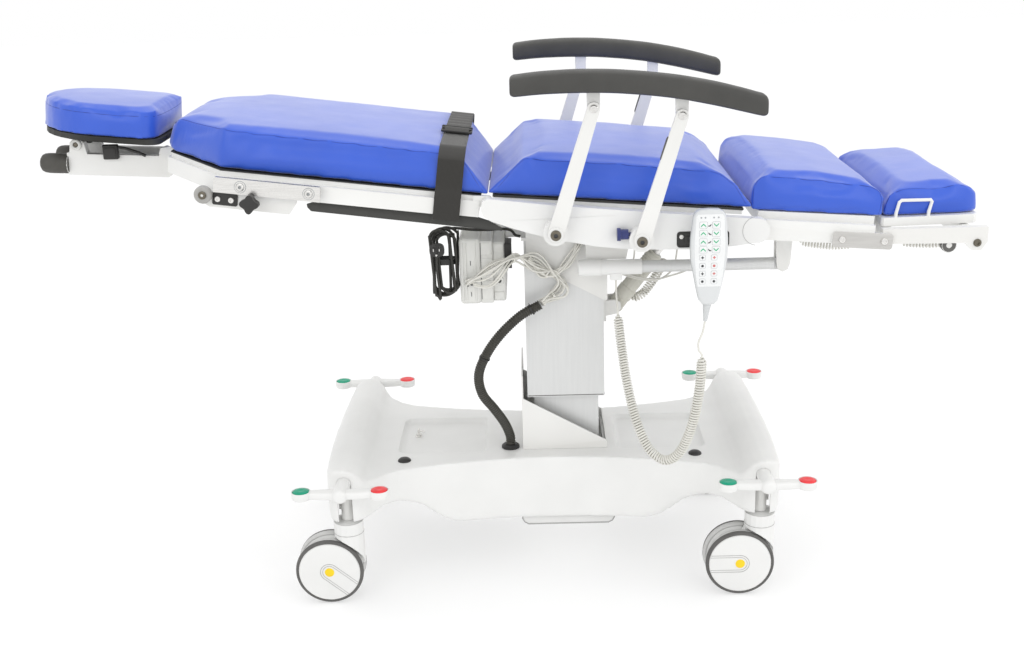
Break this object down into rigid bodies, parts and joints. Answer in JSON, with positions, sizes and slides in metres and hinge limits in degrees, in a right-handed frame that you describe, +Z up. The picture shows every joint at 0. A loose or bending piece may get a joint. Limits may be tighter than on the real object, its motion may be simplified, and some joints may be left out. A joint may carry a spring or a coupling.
{
  "type": "procedure chair",
  "caption": "Powered procedure chair: blue padded couch in hinged sections on a telescopic column, with fold-down armrests, handset and wheeled base.",
  "frame": {"origin": "middle of the overall length and width, at floor level under the casters", "axes": "+X from the head end to the foot end, +Y from the handset side to the far side, +Z up"},
  "size_m": [1.9909, 0.727, 1.1575],
  "materials": {
    "steel": "bright ground steel",
    "white_plastic": "satin moulding",
    "white_coat": "satin powder coat",
    "anodised": "light grey anodised",
    "black_plastic": "matt",
    "black_coat": "fine-textured black coat",
    "cream_plastic": "satin off-white",
    "blue_vinyl": "grained royal blue upholstery vinyl",
    "charcoal_pad": "skinned foam",
    "navy_plastic": "satin",
    "webbing": "woven webbing"
  },
  "bodies": {
    "base": {"base_cover": "white_plastic", "base_frame": "steel", "base_underpan": "white_plastic", "column_bracket": "white_coat", "column_inner": "anodised", "lift_spindle": "steel", "conduit_gland": "black_plastic", "cable_conduit": "black_plastic"},
    "pedal_head": {"pedal_bar_head": "white_plastic"},
    "pedal_foot": {"pedal_bar_foot": "white_plastic"},
    "lift": {"column_outer": "anodised", "column_head": "white_coat", "control_box": "cream_plastic", "cable_bundle": "cream_plastic", "mains_lead": "black_plastic", "mains_plug": "black_plastic"},
    "tilt_barrel": {"tilt_actuator": "white_plastic"},
    "tilt_rod": {"tilt_actuator_rod": "steel"},
    "seat": {"seat_panel_near": "white_plastic", "seat_panel_far": "white_plastic", "seat_frame": "white_coat", "seat_cushion": "blue_vinyl", "leg_actuator": "anodised", "handset_cord": "cream_plastic"},
    "leg_rod": {"leg_actuator_rod": "anodised"},
    "back": {"back_frame": "white_coat", "back_cushion": "blue_vinyl", "accessory_rail_near": "steel", "accessory_rail_far": "steel", "back_lift_arms": "black_coat", "seat_belt": "webbing"},
    "knob": {"rail_clamp_knob": "black_plastic"},
    "head_frame": {"head_frame": "white_coat"},
    "head_rest": {"head_plate": "black_coat", "head_cushion": "blue_vinyl"},
    "leg": {"leg_frame": "white_coat", "leg_cushion": "blue_vinyl"},
    "foot": {"foot_frame": "white_coat", "foot_tray": "white_coat", "foot_cushion": "blue_vinyl"},
    "handset": {"handset": "cream_plastic"},
    "caster_head_near": {"caster_fork_head_near": "white_plastic"},
    "wheels_head_near": {"caster_wheels_head_near": "white_plastic"},
    "caster_head_far": {"caster_fork_head_far": "white_plastic"},
    "wheels_head_far": {"caster_wheels_head_far": "white_plastic"},
    "caster_foot_near": {"caster_fork_foot_near": "white_plastic"},
    "wheels_foot_near": {"caster_wheels_foot_near": "white_plastic"},
    "caster_foot_far": {"caster_fork_foot_far": "white_plastic"},
    "wheels_foot_far": {"caster_wheels_foot_far": "white_plastic"},
    "post_a_near": {"arm_post_a_near": "white_coat"},
    "post_b_near": {"arm_post_b_near": "white_coat"},
    "pad_near": {"arm_pad_near": "charcoal_pad"},
    "lock_near": {"arm_lock_near": "navy_plastic"},
    "roller_near": {"bumper_roller_near": "cream_plastic"},
    "post_a_far": {"arm_post_a_far": "white_coat"},
    "post_b_far": {"arm_post_b_far": "white_coat"},
    "pad_far": {"arm_pad_far": "charcoal_pad"},
    "lock_far": {"arm_lock_far": "navy_plastic"},
    "roller_far": {"bumper_roller_far": "cream_plastic"}
  },
  "joints": [
    {"name": "column_lift", "type": "slide", "parent": "base", "child": "lift", "axis": [0, 0, 1], "range_m": [-0.1, 0.15], "deforming": ["cable_conduit"]},
    {"name": "seat_tilt", "type": "hinge", "parent": "lift", "child": "seat", "pos_m": [0.1348, 0, 0.822], "axis": [0, 1, 0], "range_deg": [-15, 5]},
    {"name": "tilt_barrel_turn", "type": "hinge", "parent": "lift", "child": "tilt_barrel", "pos_m": [0.2548, 0, 0.59], "axis": [0, 1, 0], "range_deg": [-10, 4]},
    {"name": "tilt_rod_slide", "type": "slide", "parent": "tilt_barrel", "child": "tilt_rod", "axis": [0.6093, 0, 0.7929], "range_m": [-0.024, 0.066]},
    {"name": "back_lift", "type": "hinge", "parent": "seat", "child": "back", "pos_m": [-0.0207, 0, 0.893], "axis": [0, 1, 0], "range_deg": [-8, 55]},
    {"name": "head_frame_tilt", "type": "hinge", "parent": "back", "child": "head_frame", "pos_m": [-0.7222, 0, 0.976], "axis": [0, 1, 0], "range_deg": [-12, 20]},
    {"name": "head_rest_tilt", "type": "hinge", "parent": "head_frame", "child": "head_rest", "pos_m": [-0.9132, 0, 0.997], "axis": [0, 1, 0], "range_deg": [-25, 2]},
    {"name": "leg_drop", "type": "hinge", "parent": "seat", "child": "leg", "pos_m": [0.5228, 0, 0.821], "axis": [0, 1, 0], "range_deg": [0, 70]},
    {"name": "leg_rod_slide", "type": "slide", "parent": "seat", "child": "leg_rod", "axis": [1, 0, 0], "range_m": [-0.15, 0.001]},
    {"name": "foot_drop", "type": "hinge", "parent": "leg", "child": "foot", "pos_m": [0.7858, 0, 0.791], "axis": [0, 1, 0], "range_deg": [0, 75]},
    {"name": "handset_unhook", "type": "slide", "parent": "seat", "child": "handset", "axis": [0, 0, 1], "range_m": [0, 0.06], "deforming": ["handset_cord"]},
    {"name": "pedal_head_rock", "type": "hinge", "parent": "base", "child": "pedal_head", "pos_m": [-0.3522, 0, 0.286], "axis": [0, 1, 0], "range_deg": [-20, 20]},
    {"name": "pedal_foot_rock", "type": "hinge", "parent": "base", "child": "pedal_foot", "pos_m": [0.5498, 0, 0.286], "axis": [0, 1, 0], "range_deg": [-20, 20]},
    {"name": "knob_turn", "type": "hinge", "parent": "back", "child": "knob", "pos_m": [-0.4952, -0.2725, 0.908], "axis": [0, 1, 0], "continuous": true},
    {"name": "caster_swivel_head_near", "type": "hinge", "parent": "base", "child": "caster_head_near", "pos_m": [-0.3522, -0.258, 0.1865], "axis": [0, 0, 1], "continuous": true},
    {"name": "wheel_roll_head_near", "type": "hinge", "parent": "caster_head_near", "child": "wheels_head_near", "pos_m": [-0.3972, -0.258, 0.075], "axis": [0, 1, 0], "continuous": true},
    {"name": "caster_swivel_head_far", "type": "hinge", "parent": "base", "child": "caster_head_far", "pos_m": [-0.3522, 0.258, 0.1865], "axis": [0, 0, 1], "continuous": true},
    {"name": "wheel_roll_head_far", "type": "hinge", "parent": "caster_head_far", "child": "wheels_head_far", "pos_m": [-0.3972, 0.258, 0.075], "axis": [0, 1, 0], "continuous": true},
    {"name": "caster_swivel_foot_near", "type": "hinge", "parent": "base", "child": "caster_foot_near", "pos_m": [0.5498, -0.258, 0.1865], "axis": [0, 0, 1], "continuous": true},
    {"name": "wheel_roll_foot_near", "type": "hinge", "parent": "caster_foot_near", "child": "wheels_foot_near", "pos_m": [0.5048, -0.258, 0.075], "axis": [0, 1, 0], "continuous": true},
    {"name": "caster_swivel_foot_far", "type": "hinge", "parent": "base", "child": "caster_foot_far", "pos_m": [0.5498, 0.258, 0.1865], "axis": [0, 0, 1], "continuous": true},
    {"name": "wheel_roll_foot_far", "type": "hinge", "parent": "caster_foot_far", "child": "wheels_foot_far", "pos_m": [0.5048, 0.258, 0.075], "axis": [0, 1, 0], "continuous": true},
    {"name": "arm_fold_near", "type": "hinge", "parent": "seat", "child": "post_a_near", "pos_m": [0.1148, -0.319, 0.832], "axis": [0, 1, 0], "range_deg": [-90, 0]},
    {"name": "arm_rear_near", "type": "hinge", "parent": "seat", "child": "post_b_near", "pos_m": [0.2868, -0.319, 0.814], "axis": [0, 1, 0], "range_deg": [-90, 0]},
    {"name": "arm_pad_level_near", "type": "hinge", "parent": "post_a_near", "child": "pad_near", "pos_m": [0.1928, -0.319, 1.081], "axis": [0, 1, 0], "range_deg": [0, 90]},
    {"name": "arm_lock_pull_near", "type": "slide", "parent": "seat", "child": "lock_near", "axis": [-1, 0, 0], "range_m": [0, 0.008], "stiffness_N_per_m": 400, "springref_m": -0.004},
    {"name": "roller_turn_near", "type": "hinge", "parent": "back", "child": "roller_near", "pos_m": [-0.5923, -0.28, 0.9249], "axis": [0, 1, 0], "continuous": true},
    {"name": "arm_fold_far", "type": "hinge", "parent": "seat", "child": "post_a_far", "pos_m": [0.1148, 0.319, 0.832], "axis": [0, 1, 0], "range_deg": [-90, 0]},
    {"name": "arm_rear_far", "type": "hinge", "parent": "seat", "child": "post_b_far", "pos_m": [0.2868, 0.319, 0.814], "axis": [0, 1, 0], "range_deg": [-90, 0]},
    {"name": "arm_pad_level_far", "type": "hinge", "parent": "post_a_far", "child": "pad_far", "pos_m": [0.1928, 0.319, 1.081], "axis": [0, 1, 0], "range_deg": [0, 90]},
    {"name": "arm_lock_pull_far", "type": "slide", "parent": "seat", "child": "lock_far", "axis": [-1, 0, 0], "range_m": [0, 0.008], "stiffness_N_per_m": 400, "springref_m": -0.004},
    {"name": "roller_turn_far", "type": "hinge", "parent": "back", "child": "roller_far", "pos_m": [-0.5923, 0.28, 0.9249], "axis": [0, 1, 0], "continuous": true}
  ],
  "couplings": [
    {"joint": "tilt_barrel_turn", "follows": "seat_tilt", "ratio": 0.5374},
    {"joint": "tilt_rod_slide", "follows": "seat_tilt", "m_per_rad": -0.2365},
    {"joint": "leg_rod_slide", "follows": "leg_drop", "m_per_rad": -0.1221},
    {"joint": "pedal_foot_rock", "follows": "pedal_head_rock", "ratio": 1},
    {"joint": "arm_rear_near", "follows": "arm_fold_near", "ratio": 1},
    {"joint": "arm_pad_level_near", "follows": "arm_fold_near", "ratio": -1},
    {"joint": "arm_rear_far", "follows": "arm_fold_far", "ratio": 1},
    {"joint": "arm_pad_level_far", "follows": "arm_fold_far", "ratio": -1}
  ]
}
